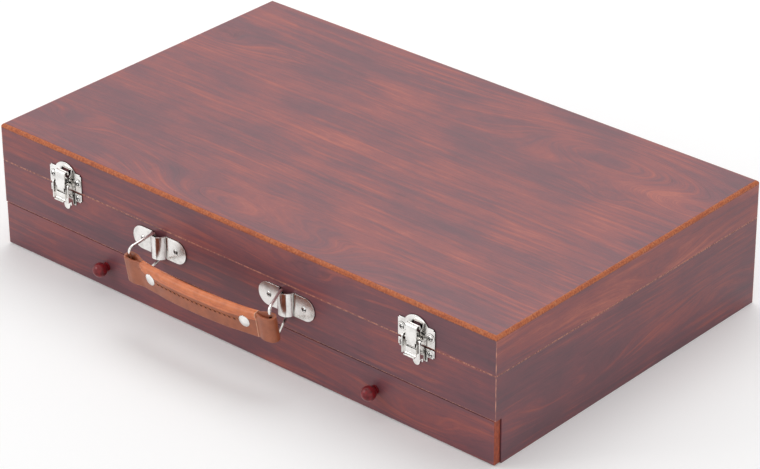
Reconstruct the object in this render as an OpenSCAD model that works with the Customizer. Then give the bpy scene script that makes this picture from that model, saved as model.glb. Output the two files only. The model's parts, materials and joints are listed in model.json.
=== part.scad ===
// Brush box with a hinged lid, a full-width drawer, two draw latches and a strap handle.
// Millimetres. Origin at the middle of the footprint, on the floor. Front faces -Y.

/* [Box] */
// Overall width, left to right
box_w = 420; // [360:5:520]
// Overall depth, front to back
box_d = 258; // [200:2:330]
// Height of the lower case, floor to lid seam
case_h = 61.5; // [58:0.5:90]
// Height of the lid walls, below the top panel
lid_wall_h = 23.6; // [21:0.2:40]
// Thickness of the lid's top panel
top_t = 3; // [2:0.5:5]
// Thickness of the wall boards
wall_t = 6; // [5:0.5:8]
// Open seam between the lid and the case
seam_gap = 0.3; // [0.1:0.1:0.6]
// Round-over along the top panel's edges
top_round = 2.4; // [1:0.2:2.8]
// Thickness of the thin inner panels
panel_t = 3; // [2.4:0.2:4]
// Depth of the grooves that hold the thin panels
groove_d = 3; // [2:0.5:4]

/* [Drawer] */
// Height of the drawer zone, floor to front rail
drawer_zone_h = 31; // [26:0.5:36]
// Thickness of the drawer front
drawer_front_t = 5; // [4:0.5:7]
// Gap above, below and behind the drawer front
drawer_gap = 0.6; // [0.4:0.1:1.2]
// How far the drawer front's ends stop short of the sides
drawer_inset = 0.8; // [0.4:0.1:1.5]
// Thickness of the drawer's side and back boards
drawer_t = 5; // [4:0.5:6]
// Play beside the drawer
drawer_play = 0.8; // [0.4:0.1:1.5]
// Play between the drawer and the bottom panel
drawer_lift = 0.3; // [0.2:0.1:0.6]
// Distance between the two drawer knobs
knob_spacing = 232; // [160:2:280]
// Diameter of a knob's ball
knob_ball_d = 9.8; // [8:0.2:14]

/* [Partitions] */
// Height of the partitions in the upper compartment
divider_h = 20; // [15:1:22]
// Thickness of every partition
divider_t = 3; // [2.5:0.5:4]
// Depth of the rear trough, for long brushes
trough_d = 92; // [60:2:110]
// Distance between the two brush rests
rest_spacing = 210; // [150:5:260]
// Number of notches in a brush rest
rest_notches = 4; // [2:1:5]
// Radius of a notch in a brush rest
rest_notch_r = 6; // [4:0.5:7]

/* [Latches] */
// Distance between the two latches
latch_spacing = 299; // [250:1:340]
// Thickness of the latch plates
latch_t = 0.8; // [0.6:0.1:1]
// Width of the lever and the claw
claw_w = 8.2; // [7:0.2:9]
// Inside distance between the two ears
ear_gap = 12.8; // [11:0.2:14]
// Height of the lever's pivot above the lid seam
lever_pivot_up = 4.35; // [3.5:0.05:5]
// Distance of the lever's pivot in front of the case
lever_pivot_out = 4.2; // [4:0.1:4.6]
// Distance between the lever's pivot and the claw's pivot
throw_len = 3.4; // [3:0.1:3.8]
// Radius of the latch pins
latch_pin_r = 0.7; // [0.6:0.05:0.8]
// Clearance round each latch pin
pin_fit = 0.05; // [0.02:0.01:0.1]

/* [Handle] */
// Sideways place of the middle between the two plates
handle_x = -10.25; // [-30:0.25:30]
// Distance between the two plates
plate_spacing = 109.5; // [90:0.5:130]
// Height of the plates above the floor
handle_z = 50.3; // [46:0.1:52]
// Length of a plate
plate_l = 46.5; // [42:0.5:52]
// Height of a plate
plate_h = 16; // [13:0.5:18]
// Thickness of a plate
plate_t = 1; // [0.8:0.1:1.4]
// Distance between a plate's screws
plate_screw_gap = 29; // [26:0.5:32]
// Inside radius of the half-round bridge
bridge_r = 5.2; // [5:0.1:5.6]
// Distance of the ring's pivot in front of the case
ring_pivot_out = 2.75; // [2.6:0.05:2.9]
// Droop of the rings and the strap, in degrees
handle_droop = 10; // [6:1:11]
// Radius of the ring's wire
wire_r = 1; // [0.8:0.1:1]
// Reach of a ring, pivot to outer bar
ring_reach = 23; // [20:0.5:26]
// Half height of a ring at its pivot
ring_inner_half = 10.8; // [10:0.2:12]
// Half height of a ring at its outer bar
ring_outer_half = 12.8; // [11:0.2:14]
// Turn of the right ring at rest, in degrees
right_ring_turn = 23; // [15:1:28]
// Height of the strap
strap_h = 18.5; // [14:0.5:20]
// Thickness of the strap where it is padded
strap_pad_t = 5.6; // [4.5:0.2:7]
// Thickness of one layer of leather
leather_t = 1.7; // [1.4:0.1:2]
// How far the strap bows out between its ends
strap_bow = 4.2; // [2:0.2:6]
// Distance from each ring's bar to its rivet
rivet_in = 19.5; // [16:0.5:24]
// Radius of a rivet's cap
rivet_cap_r = 4.2; // [3.4:0.1:4.6]

/* [Hinges] */
// Distance between the two hinges
hinge_spacing = 270; // [200:5:320]
// Length of a hinge
hinge_l = 38; // [30:1:50]
// Height of a hinge leaf
leaf_h = 15; // [12:0.5:18]
// Thickness of a hinge leaf
leaf_t = 1; // [0.8:0.1:1.2]
// Outside radius of the hinge's knuckles
knuckle_r = 2.2; // [2:0.1:2.6]
// Radius of a hinge pin
hinge_pin_r = 1; // [0.9:0.05:1.2]
// Gap between neighbouring knuckles
knuckle_gap = 0.3; // [0.2:0.05:0.5]

/* [Hidden] */
$fn = 64;

wood = [0.45, 0.24, 0.21];
edge = [0.72, 0.36, 0.2];
inner_wood = [0.86, 0.74, 0.58];
nickel = [0.82, 0.81, 0.79];
leather = [0.66, 0.36, 0.22];
knob_red = [0.35, 0.07, 0.08];

eps = 0.01;
face_y = -box_d / 2;
back_y = box_d / 2;
inner_w = box_w - 2 * wall_t;
inner_d = box_d - 2 * wall_t;
lid_z = case_h + seam_gap;
top_z = lid_z + lid_wall_h;
groove_fit = 0.2;

bottom_z = 0;
deck_z = drawer_zone_h + 2;
deck_top = deck_z + panel_t;
side_front_y = face_y + drawer_front_t + drawer_gap;

drawer_back_clear = 10;
drawer_head = 2.5;
drawer_w = inner_w - 2 * drawer_play;
drawer_y0 = face_y + drawer_front_t;
drawer_len = back_y - wall_t - drawer_back_clear - drawer_y0;
drawer_z = bottom_z + panel_t + drawer_lift;
drawer_side_h = drawer_zone_h - drawer_head - drawer_z;
drawer_floor_z = drawer_z + 2;
drawer_groove_d = 2.5;
drawer_split_y = drawer_y0 + 150;
drawer_div_h = drawer_side_h - panel_t - 4;

trough_y = back_y - wall_t - trough_d - divider_t;

screw_r = 1;
screw_fit = 0.05;
screw_hole_r = screw_r + screw_fit;
screw_len = 4.6;
screw_head_r = 2.1;
screw_head_h = 0.9;
plate_hole_r = 1.25;

// Latch sizes, measured from the lid seam upwards and from the front face outwards
base_w = 28.2;
base_top = case_h - 0.6;
base_tab_h = 5.7;
base_low = case_h - 14.8;
strike_w = 28.7;
strike_low = lid_z + 0.6;
strike_tab_top = lid_z + 13.5;
strike_dome_r = 10.4;
strike_top = lid_z + 18.5;
base_screw_x = 10.8;
base_screw_z = case_h - 3.6;
strike_screw_x = 11.2;
strike_screw_z = lid_z + 7.2;
lever_z = case_h + lever_pivot_up;
claw_back = 0.2;
claw_z = lever_z - sqrt(throw_len * throw_len - claw_back * claw_back);
claw_out = lever_pivot_out + claw_back;
eye_r = latch_pin_r + latch_t;
claw_face = claw_out + eye_r;
claw_side = 0.2;
cheek_r = 1.4;
cheek_back = 0.25;
lever_top = claw_z - eye_r - 0.3;
lever_low = lever_top - 3.6;
lip_r = 1.2;
cheek_x = claw_w / 2 - latch_t;
hook_r = 2.1;
hook_out = claw_face - hook_r;
hook_z = lid_z + 12.2;
hook_drop = 1.1;
tongue_w = 5;
tongue_out = hook_out - 0.1;
tongue_top = hook_z + 0.75;
tongue_low = hook_z - 5.2;
ear_round = 1.8;

// Handle sizes
plate_x = [handle_x - plate_spacing / 2, handle_x + plate_spacing / 2];
ring_turn = [0, right_ring_turn];
ring_bend = 3;
bridge_out = bridge_r + plate_t;
bar_l = [plate_x[0], ring_reach];
bar_r = [plate_x[1] + ring_reach * sin(right_ring_turn), ring_reach * cos(right_ring_turn)];
strap_span = norm(bar_r - bar_l);
strap_turn = atan2(bar_r[1] - bar_l[1], bar_r[0] - bar_l[0]);
strap_seat = 1;
strap_low = -ring_outer_half + wire_r + strap_seat;
loop_play = 1.25;
loop_half = wire_r + loop_play + leather_t;
loop_len = 8.5;
neck_half = leather_t + 0.15;
rivet_r = 1.4;
rivet_cap_h = 1.2;
rivet_dome = 8;
cover_cut = 9.5;
strap_steps = 36;

// Hinge sizes
hinge_out = knuckle_r + 0.15;
knuckles = 5;
knuckle_l = (hinge_l - (knuckles - 1) * knuckle_gap) / knuckles;
hinge_screw_x = hinge_l / 2 - 6;
hinge_screw_down = 9.5;
hinge_z = case_h + seam_gap / 2;

latch_x = [-latch_spacing / 2, latch_spacing / 2];
hinge_x = [-hinge_spacing / 2, hinge_spacing / 2];
knob_x = [-knob_spacing / 2, knob_spacing / 2];
knob_z = drawer_zone_h / 2 + 0.2;
knob_out = 6;
knob_foot_r = 3.1;
knob_bore = 5;
knob_screw_r = 1.3;
knob_screw_head = 1.4;
leaf_start = 0.3;

// Puts a drawing of (across, up, out) on the front face
module on_front(x) translate([x, face_y, 0]) rotate([90, 0, 0]) children();

// Puts a drawing of (across, up, out) on the back face
module on_back(x) translate([x, back_y, 0]) rotate([90, 0, 180]) children();

// Turns an (out, up) outline into a strip of width w across the face
module across(w) rotate([0, -90, 0]) linear_extrude(w, center = true) children();

// A pin or bore across the face, at one height and one distance out
module cross_pin(up, out, r, l) translate([0, up, out]) rotate([0, 90, 0])
  cylinder(r = r, h = l, center = true);

// A bore into the face, from just in front of it
module face_bore(x, up, r, depth) translate([x, up, -depth]) cylinder(r = r, h = depth + 3);

// A screw with a domed head on a plate of thickness t
module screw(x, up, t) translate([x, up, 0]) {
  translate([0, 0, t - screw_len]) cylinder(r = screw_r, h = screw_len + 0.2);
  translate([0, 0, t]) intersection() {
    cylinder(r = screw_head_r, h = screw_head_h);
    translate([0, 0, screw_head_h - 3]) sphere(r = 3);
  }
}

// A board with its long edges mitred at both ends, outer face on y = 0
module mitred_board(l, h) linear_extrude(h)
  polygon([[-l / 2, 0], [l / 2, 0], [l / 2 - wall_t, wall_t], [wall_t - l / 2, wall_t]]);

// The groove that takes a thin panel, cut round the inside of the walls
module panel_groove(z, y0 = face_y + wall_t - groove_d)
  translate([-inner_w / 2 - groove_d, y0, z])
    cube([inner_w + 2 * groove_d, back_y - wall_t + groove_d - y0, panel_t]);

module side_wall(y_front, mitre_front, z, h) translate([0, 0, z]) linear_extrude(h)
  polygon([[box_w / 2, y_front], [box_w / 2, back_y], [inner_w / 2, back_y - wall_t],
           [inner_w / 2, y_front + mitre_front]]);

module case_side() color(wood) difference() {
  union() {
    side_wall(side_front_y, 0, 0, drawer_zone_h);
    side_wall(face_y, wall_t, drawer_zone_h, case_h - drawer_zone_h);
  }
  panel_groove(deck_z);
  panel_groove(bottom_z, side_front_y - 1);
}

module case_right() case_side();

module case_left() mirror([1, 0, 0]) case_side();

module case_front() color(wood) difference() {
  translate([0, face_y, drawer_zone_h]) mitred_board(box_w, case_h - drawer_zone_h);
  panel_groove(deck_z);
  for (x = latch_x, s = [-1, 1]) on_front(x)
    face_bore(s * base_screw_x, base_screw_z, screw_hole_r, screw_len);
  for (x = plate_x, s = [-1, 1]) on_front(x)
    face_bore(s * plate_screw_gap / 2, handle_z, screw_hole_r, screw_len);
}

module case_back() color(wood) difference() {
  translate([0, back_y, 0]) rotate([0, 0, 180]) mitred_board(box_w, case_h);
  panel_groove(deck_z);
  panel_groove(bottom_z);
  for (x = hinge_x, s = [-1, 1]) on_back(x)
    face_bore(s * hinge_screw_x, hinge_z - hinge_screw_down, screw_hole_r, screw_len);
}

// A thin panel that fills its groove, less a little room at the edges
module grooved_panel(z, y0) let (reach = groove_d - groove_fit)
  translate([-inner_w / 2 - reach, y0, z])
    cube([inner_w + 2 * reach, back_y - wall_t + reach - y0, panel_t]);

module deck_panel() color(inner_wood)
  grooved_panel(deck_z, face_y + wall_t - groove_d + groove_fit);

module bottom_panel() color(inner_wood) grooved_panel(bottom_z, side_front_y);

module divider_long() color(inner_wood) translate([-inner_w / 2, trough_y, deck_top])
  cube([inner_w, divider_t, divider_h]);

module divider_cross() color(inner_wood)
  translate([-divider_t / 2, face_y + wall_t, deck_top])
    cube([divider_t, trough_y - face_y - wall_t, divider_h]);

// A rest across the rear trough, with a row of half-round notches
module brush_rest(x) color(inner_wood) let (pitch = trough_d / rest_notches)
  translate([x, trough_y + divider_t, deck_top]) difference() {
    translate([-divider_t / 2, 0, 0]) cube([divider_t, trough_d, divider_h]);
    for (i = [0 : rest_notches - 1]) translate([0, (i + 0.5) * pitch, divider_h])
      rotate([0, 90, 0]) cylinder(r = rest_notch_r, h = divider_t + 2, center = true);
  }

module brush_rest_left() brush_rest(-rest_spacing / 2);

module brush_rest_right() brush_rest(rest_spacing / 2);

// Outline of the lower latch plate: two tabs above a lobe with an ogee edge
module base_outline() {
  translate([-base_w / 2, base_top - base_tab_h + 1]) square([base_w, base_tab_h - 1]);
  translate([1 - base_w / 2, base_top - base_tab_h]) square([base_w - 2, 2]);
  translate([-8.6, base_low + 5.2]) square([17.2, base_top - base_low - 6]);
  translate([0, base_low + 2.6]) circle(2.6);
  difference() {
    translate([-7.2, base_low + 1.6]) square([14.4, 4]);
    for (s = [-1, 1]) translate([s * 6.6, base_low + 1.6]) circle(4.1);
  }
}

// Side view of an ear, (out, up)
module ear_outline() difference() {
  union() {
    translate([0, base_low + 5.6]) square([3.4, base_top - base_low - 5.6]);
    translate([0, base_top - 6]) square([lever_pivot_out + ear_round, 6]);
    translate([lever_pivot_out - ear_round, base_top - 1])
      square([2 * ear_round, lever_z - base_top + 1]);
    translate([lever_pivot_out, lever_z]) circle(ear_round);
  }
  translate([lever_pivot_out, lever_z]) circle(latch_pin_r + pin_fit);
}

module latch_base(x) color(nickel) on_front(x) difference() {
  union() {
    linear_extrude(latch_t) base_outline();
    for (s = [-1, 1]) translate([s * (ear_gap + latch_t) / 2, 0, 0]) across(latch_t)
      ear_outline();
  }
  for (s = [-1, 1]) face_bore(s * base_screw_x, base_screw_z, plate_hole_r, 1);
}

module latch_base_left() latch_base(latch_x[0]);

module latch_base_right() latch_base(latch_x[1]);

// The pin that carries the lever, riveted over outside both ears
module lever_pin(x) color(nickel) on_front(x) {
  cross_pin(lever_z, lever_pivot_out, latch_pin_r, ear_gap + 2 * latch_t + 0.2);
  for (s = [-1, 1]) translate([s * ((ear_gap + 0.6) / 2 + latch_t + pin_fit), 0, 0])
    cross_pin(lever_z, lever_pivot_out, latch_pin_r + 0.4, 0.6);
}

module lever_pin_left() lever_pin(latch_x[0]);

module lever_pin_right() lever_pin(latch_x[1]);

// The lever: a front plate with a finger lip, and two cheeks that reach up to the pivot
module lever(x) color(nickel) on_front(x) difference() {
  union() {
    for (s = [-1, 1]) translate([s * (claw_w - latch_t) / 2, 0, 0]) across(latch_t) {
      translate([lever_pivot_out, lever_z]) circle(cheek_r);
      translate([claw_face - latch_t - 2 * cheek_r, claw_z])
        square([2 * cheek_r - cheek_back, lever_z - claw_z]);
      translate([claw_face - latch_t - 2 * cheek_r, lever_low])
        square([2 * cheek_r + eps, claw_z - lever_low]);
    }
    across(claw_w) {
      translate([claw_face - latch_t, lever_low]) square([latch_t, lever_top - lever_low]);
      translate([claw_face + lip_r, lever_low]) difference() {
        circle(lip_r + latch_t);
        circle(lip_r);
        translate([-4, 0]) square([8, 4]);
        translate([lip_r / 2, -4]) square([4, 5]);
      }
    }
  }
  translate([0, lever_top + 3.5, claw_face + 2.5 - latch_t]) cube([20, 7, 5], center = true);
  cross_pin(lever_z, lever_pivot_out, latch_pin_r + pin_fit, 20);
  cross_pin(claw_z, claw_out, latch_pin_r + pin_fit, 20);
}

module lever_left() lever(latch_x[0]);

module lever_right() lever(latch_x[1]);

module claw_pin(x) color(nickel) on_front(x)
  cross_pin(claw_z, claw_out, latch_pin_r, claw_w + 0.4);

module claw_pin_left() claw_pin(latch_x[0]);

module claw_pin_right() claw_pin(latch_x[1]);

// The claw: a rolled eye on the lever's pin, a flat shank and a rounded hook
module claw(x) color(nickel) on_front(x) difference() {
  shank_low = claw_z + eye_r + 0.6;
  union() {
    across(2 * (cheek_x - claw_side)) {
      translate([claw_out, claw_z]) circle(eye_r);
      translate([claw_face - latch_t, claw_z]) square([latch_t, shank_low - claw_z + eps]);
    }
    across(claw_w) {
      translate([claw_face - latch_t, shank_low]) square([latch_t, hook_z - shank_low]);
      translate([hook_out, hook_z]) difference() {
        circle(hook_r);
        circle(hook_r - latch_t);
        translate([-4, -4]) square([8, 4]);
      }
      translate([hook_out - hook_r, hook_z - hook_drop]) square([latch_t, hook_drop + eps]);
    }
  }
  cross_pin(claw_z, claw_out, latch_pin_r + pin_fit, 20);
}

module claw_left() claw(latch_x[0]);

module claw_right() claw(latch_x[1]);

// Outline of the strike plate: a dome between two screw tabs
module strike_outline() difference() {
  union() {
    translate([-strike_w / 2, strike_low]) square([strike_w, strike_tab_top - strike_low - 1]);
    translate([1 - strike_w / 2, strike_low + 1])
      square([strike_w - 2, strike_tab_top - strike_low - 1]);
    translate([0, strike_top - strike_dome_r]) circle(strike_dome_r);
  }
  translate([-strike_w / 2, 0]) square([strike_w, strike_low]);
  translate([-tongue_w / 2 - 0.4, tongue_low + 0.6]) square([tongue_w + 0.8, 7]);
}

// Side view of the tongue that the claw pulls on, (out, up)
module tongue_outline() {
  knee = tongue_out - latch_t / 2 - 0.4;
  polygon([[0, tongue_low], [0, tongue_low - latch_t], [latch_t, tongue_low - latch_t],
           [tongue_out + latch_t / 2, tongue_low + knee - latch_t / 3],
           [tongue_out + latch_t / 2, tongue_top], [tongue_out - latch_t / 2, tongue_top],
           [tongue_out - latch_t / 2, tongue_low + knee]]);
}

module strike(x) color(nickel) on_front(x) difference() {
  union() {
    linear_extrude(latch_t) strike_outline();
    across(tongue_w) tongue_outline();
    for (s = [-1, 1]) translate([s * strike_screw_x, strike_screw_z, latch_t - eps])
      cylinder(r = 2.9, h = 0.3);
  }
  for (s = [-1, 1]) face_bore(s * strike_screw_x, strike_screw_z, plate_hole_r, 1);
}

module strike_left() strike(latch_x[0]);

module strike_right() strike(latch_x[1]);

module strike_screws() color(nickel) for (x = latch_x, s = [-1, 1]) on_front(x)
  screw(s * strike_screw_x, strike_screw_z, latch_t + 0.3);

module case_screws() color(nickel) {
  for (x = latch_x, s = [-1, 1]) on_front(x) screw(s * base_screw_x, base_screw_z, latch_t);
  for (x = plate_x, s = [-1, 1]) on_front(x) screw(s * plate_screw_gap / 2, handle_z, plate_t);
}

// A stadium plate pressed out into a half-round bridge over the ring's inner bar
module handle_plate(x) color(nickel) on_front(x) difference() {
  intersection() {
    translate([0, handle_z - plate_h / 2, 0]) rotate([-90, 0, 0]) mirror([0, 1, 0])
      linear_extrude(plate_h) difference() {
        union() {
          translate([-plate_l / 2, 0]) square([plate_l, plate_t]);
          circle(bridge_out);
        }
        circle(bridge_r);
        translate([-plate_l, -20]) square([2 * plate_l, 20]);
      }
    translate([0, handle_z, -1]) linear_extrude(12) {
      square([plate_l - plate_h, plate_h], center = true);
      for (s = [-1, 1]) translate([s * (plate_l - plate_h) / 2, 0]) circle(plate_h / 2);
    }
  }
  for (s = [-1, 1]) face_bore(s * plate_screw_gap / 2, handle_z, plate_hole_r, 1);
}

module handle_plate_left() handle_plate(plate_x[0]);

module handle_plate_right() handle_plate(plate_x[1]);

// The drooping plane of the handle, drawn as (across, up, out) from the pivots
module handle_frame() translate([0, face_y - ring_pivot_out, handle_z])
  rotate([90 + handle_droop, 0, 0]) children();

function heading(a, b) = atan2(b[1] - a[1], b[0] - a[0]);
function turn_at(pts, i) = let (n = len(pts), p = pts[(i + n - 1) % n], q = pts[(i + 1) % n])
  (heading(pts[i], q) - heading(p, pts[i]) + 720) % 360;

// The middle of a wire loop through the points, anticlockwise: [x, y, heading] at each ring
function loop_path(pts, bend, steps) = [for (i = [0 : len(pts) - 1]) let (
    turn = turn_at(pts, i),
    way = heading(pts[(i + len(pts) - 1) % len(pts)], pts[i]),
    centre = pts[i] - bend * tan(turn / 2) * [cos(way), sin(way)] + bend * [-sin(way), cos(way)])
  for (k = [0 : steps]) let (a = way + turn * k / steps)
    [centre[0] + bend * sin(a), centre[1] - bend * cos(a), a]];

// A round wire swept along the loop
module wire_loop(pts, bend, r, sides = 16, steps = 6) {
  path = loop_path(pts, bend, steps);
  n = len(path);
  points = [for (p = path, k = [0 : sides - 1]) let (t = 360 * k / sides)
    [p[0] - r * cos(t) * sin(p[2]), p[1] + r * cos(t) * cos(p[2]), r * sin(t)]];
  faces = [for (i = [0 : n - 1], k = [0 : sides - 1]) let (
      i2 = (i + 1) % n, k2 = (k + 1) % sides,
      a = i * sides + k, b = i * sides + k2, c = i2 * sides + k2, d = i2 * sides + k)
    each [[a, b, c], [a, c, d]]];
  polyhedron(points, faces);
}

module ring(i) color(nickel) handle_frame() translate([plate_x[i], 0, 0])
  rotate([0, ring_turn[i], 0]) rotate([90, 0, 90])
    wire_loop([[-ring_inner_half, 0], [ring_inner_half, 0], [ring_outer_half, ring_reach],
               [-ring_outer_half, ring_reach]], ring_bend, wire_r);

module ring_left() ring(0);

module ring_right() ring(1);

// The strap's own frame: from the left bar to the right bar, drawn as (along, out)
module strap_frame() handle_frame() translate([bar_l[0], strap_low + strap_h, bar_l[1]])
  rotate([0, -strap_turn, 0]) rotate([90, 0, 0]) children();

function strap_mid(u) = strap_bow * 4 * u / strap_span * (1 - u / strap_span);
function strap_slope(u) = atan(4 * strap_bow / strap_span * (1 - 2 * u / strap_span));
function smooth(a, b, x) = let (t = max(0, min(1, (x - a) / (b - a)))) t * t * (3 - 2 * t);
// Half thickness of the strap at a distance in from the nearer bar
function strap_half(u) = u < 0 ? loop_half
  : loop_half + (neck_half - loop_half) * smooth(2, loop_len + 4, u)
    + (strap_pad_t / 2 - neck_half) * smooth(rivet_in + 4.5, rivet_in + 12, u);

// Points of a half circle about [x, 0], clockwise from the first angle
function half_round(x, r, first) = [for (k = [1 : 9]) let (a = first - 18 * k)
  [x + r * cos(a), r * sin(a)]];

// A band along the strap's middle line: half widths at the places us, front edge first
function band(us, half, side) = [for (i = [0 : len(us) - 1])
  [us[i], strap_mid(us[i]) + side * half[i]]];
function turned(list) = [for (i = [len(list) - 1 : -1 : 0]) list[i]];

// Outline of the strap seen along its height
module strap_outline() let (
    us = [for (i = [0 : strap_steps]) strap_span * i / strap_steps],
    half = [for (u = us) strap_half(min(u, strap_span - u))])
  polygon(concat(band(us, half, 1), half_round(strap_span, loop_half, 90),
                 turned(band(us, half, -1)), half_round(0, loop_half, -90)));

// The open loop round a ring's bar, closing towards the rivet
module loop_hole() let (
    inner = loop_half - leather_t,
    us = [for (i = [0 : 12]) i * (loop_len + 2) / 12],
    half = [for (u = us) inner - (inner - 0.2) * smooth(3, loop_len + 2, u)])
  polygon(concat(band(us, half, 1), turned(band(us, half, -1)), half_round(0, inner, -90)));

module strap_side() difference() {
  strap_outline();
  loop_hole();
  translate([strap_span, 0]) mirror([1, 0]) loop_hole();
}

// What belongs to the outer cover: the left loop and all in front of the middle
module cover_side() polygon(concat(
  [[-20, -20], [0, -20]],
  [for (i = [0 : strap_steps]) let (u = (strap_span - cover_cut) * i / strap_steps)
    [u, strap_mid(u)]],
  [[strap_span - cover_cut, 30], [-20, 30]]));

module rivet_place() for (u = [rivet_in, strap_span - rivet_in])
  translate([u, strap_mid(u), strap_h / 2]) rotate([0, 0, strap_slope(u)]) rotate([90, 0, 0])
    children();

module strap_part() color(leather) strap_frame() difference() {
  linear_extrude(strap_h) children();
  rivet_place() cylinder(r = rivet_r + 0.02, h = 20, center = true);
}

module strap_cover() strap_part() intersection() {
  strap_side();
  cover_side();
}

module strap_liner() strap_part() difference() {
  strap_side();
  cover_side();
}

// A rivet with a domed cap on both faces of the strap
module strap_rivets() color(nickel) strap_frame() rivet_place() {
  seat = strap_half(rivet_in) + 0.05;
  cylinder(r = rivet_r, h = 2 * seat, center = true);
  for (s = [0, 180]) rotate([s, 0, 0]) translate([0, 0, seat]) intersection() {
    cylinder(r = rivet_cap_r, h = rivet_cap_h);
    translate([0, 0, rivet_cap_h - rivet_dome]) sphere(r = rivet_dome);
  }
}

// One leaf of a hinge: side is 1 for the lid's leaf and -1 for the case's
module hinge_leaf(x, side) color(nickel) on_back(x) difference() {
  own = side < 0 ? [0, 2, 4] : [1, 3];
  other = side < 0 ? [1, 3] : [0, 2, 4];
  union() {
    translate([-hinge_l / 2, side < 0 ? hinge_z - leaf_h : hinge_z + leaf_start, 0])
      cube([hinge_l, leaf_h - leaf_start, leaf_t]);
    for (k = own) knuckle(k, knuckle_r, knuckle_l);
  }
  for (k = other) knuckle(k, knuckle_r + knuckle_gap, knuckle_l + 2 * knuckle_gap);
  cross_pin(hinge_z, hinge_out, hinge_pin_r + pin_fit, hinge_l + 10);
  for (s = [-1, 1]) face_bore(s * hinge_screw_x, hinge_z + side * hinge_screw_down, plate_hole_r, 1);
}

module knuckle(k, r, l) translate([(k - (knuckles - 1) / 2) * (knuckle_l + knuckle_gap), 0, 0])
  cross_pin(hinge_z, hinge_out, r, l);

module hinge_leaf_case_left() hinge_leaf(hinge_x[0], -1);

module hinge_leaf_case_right() hinge_leaf(hinge_x[1], -1);

module hinge_leaf_lid_left() hinge_leaf(hinge_x[0], 1);

module hinge_leaf_lid_right() hinge_leaf(hinge_x[1], 1);

module hinge_pin(x) color(nickel) on_back(x) {
  cross_pin(hinge_z, hinge_out, hinge_pin_r, hinge_l + 0.4);
  for (s = [-1, 1]) translate([s * (hinge_l / 2 + 0.5), 0, 0])
    cross_pin(hinge_z, hinge_out, hinge_pin_r + 0.6, 0.8);
}

module hinge_pin_left() hinge_pin(hinge_x[0]);

module hinge_pin_right() hinge_pin(hinge_x[1]);

module hinge_screws(side) color(nickel) for (x = hinge_x, s = [-1, 1]) on_back(x)
  screw(s * hinge_screw_x, hinge_z + side * hinge_screw_down, leaf_t);

module hinge_screws_case() hinge_screws(-1);

module hinge_screws_lid() hinge_screws(1);

// A top panel with its four upper edges rounded over
module lid_top() color(edge) let (r = min(top_round, top_t - 0.3))
  translate([0, 0, top_z]) intersection() {
    rotate([90, 0, 0]) linear_extrude(box_d, center = true) rounded_slab(box_w, r);
    rotate([90, 0, 90]) linear_extrude(box_w, center = true) rounded_slab(box_d, r);
  }

module rounded_slab(w, r) intersection() {
  union() {
    translate([-w / 2, 0]) square([w, top_t - r]);
    translate([r - w / 2, 0]) square([w - 2 * r, top_t]);
    for (s = [-1, 1]) translate([s * (w / 2 - r), top_t - r]) circle(r);
  }
  translate([-w / 2, 0]) square([w, top_t]);
}

module lid_front() color(wood) difference() {
  translate([0, face_y, lid_z]) mitred_board(box_w, lid_wall_h);
  for (x = latch_x, s = [-1, 1]) on_front(x)
    face_bore(s * strike_screw_x, strike_screw_z, screw_hole_r, screw_len);
}

module lid_back() color(wood) difference() {
  translate([0, back_y, lid_z]) rotate([0, 0, 180]) mitred_board(box_w, lid_wall_h);
  for (x = hinge_x, s = [-1, 1]) on_back(x)
    face_bore(s * hinge_screw_x, hinge_z + hinge_screw_down, screw_hole_r, screw_len);
}

module lid_right() color(wood) translate([box_w / 2, 0, lid_z]) rotate([0, 0, 90])
  mitred_board(box_d, lid_wall_h);

module lid_left() color(wood) translate([-box_w / 2, 0, lid_z]) rotate([0, 0, -90])
  mitred_board(box_d, lid_wall_h);

module drawer_front() color(wood) difference() {
  translate([drawer_inset - box_w / 2, face_y, drawer_gap])
    cube([box_w - 2 * drawer_inset, drawer_front_t, drawer_zone_h - 2 * drawer_gap]);
  drawer_groove();
  for (x = knob_x) on_front(x) face_bore(0, knob_z, knob_screw_r + 0.2, drawer_front_t + 2);
}

// The groove round the drawer's inside that takes its floor
module drawer_groove() let (reach = drawer_w / 2 - drawer_t + drawer_groove_d)
  translate([-reach, drawer_y0 - drawer_groove_d, drawer_floor_z])
    cube([2 * reach, drawer_len - drawer_t + 2 * drawer_groove_d, panel_t]);

module drawer_side() color(inner_wood) difference() {
  translate([drawer_w / 2 - drawer_t, drawer_y0, drawer_z])
    cube([drawer_t, drawer_len, drawer_side_h]);
  drawer_groove();
}

module drawer_right() drawer_side();

module drawer_left() mirror([1, 0, 0]) drawer_side();

module drawer_back() color(inner_wood) difference() {
  translate([drawer_t - drawer_w / 2, drawer_y0 + drawer_len - drawer_t, drawer_z])
    cube([drawer_w - 2 * drawer_t, drawer_t, drawer_side_h]);
  drawer_groove();
}

module drawer_bottom() color(inner_wood)
  let (reach = drawer_w / 2 - drawer_t + drawer_groove_d - groove_fit)
    translate([-reach, drawer_y0 - drawer_groove_d + groove_fit, drawer_floor_z])
      cube([2 * reach, drawer_len - drawer_t + 2 * (drawer_groove_d - groove_fit), panel_t]);

module drawer_divider_long() color(inner_wood)
  translate([drawer_t - drawer_w / 2, drawer_split_y, drawer_floor_z + panel_t])
    cube([drawer_w - 2 * drawer_t, divider_t, drawer_div_h]);

module drawer_divider_cross() color(inner_wood)
  translate([-divider_t / 2, drawer_y0, drawer_floor_z + panel_t])
    cube([divider_t, drawer_split_y - drawer_y0, drawer_div_h]);

// A turned ball on a short foot, bored for its screw
module knob(x) color(knob_red) on_front(x) translate([0, knob_z, 0]) difference() {
  union() {
    cylinder(r = knob_foot_r, h = 1.2);
    cylinder(r = knob_foot_r - 0.7, h = knob_out);
    translate([0, 0, knob_out]) sphere(d = knob_ball_d);
  }
  translate([0, 0, -1]) cylinder(r = knob_screw_r + screw_fit, h = knob_bore + 1);
}

module knob_left() knob(knob_x[0]);

module knob_right() knob(knob_x[1]);

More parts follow.
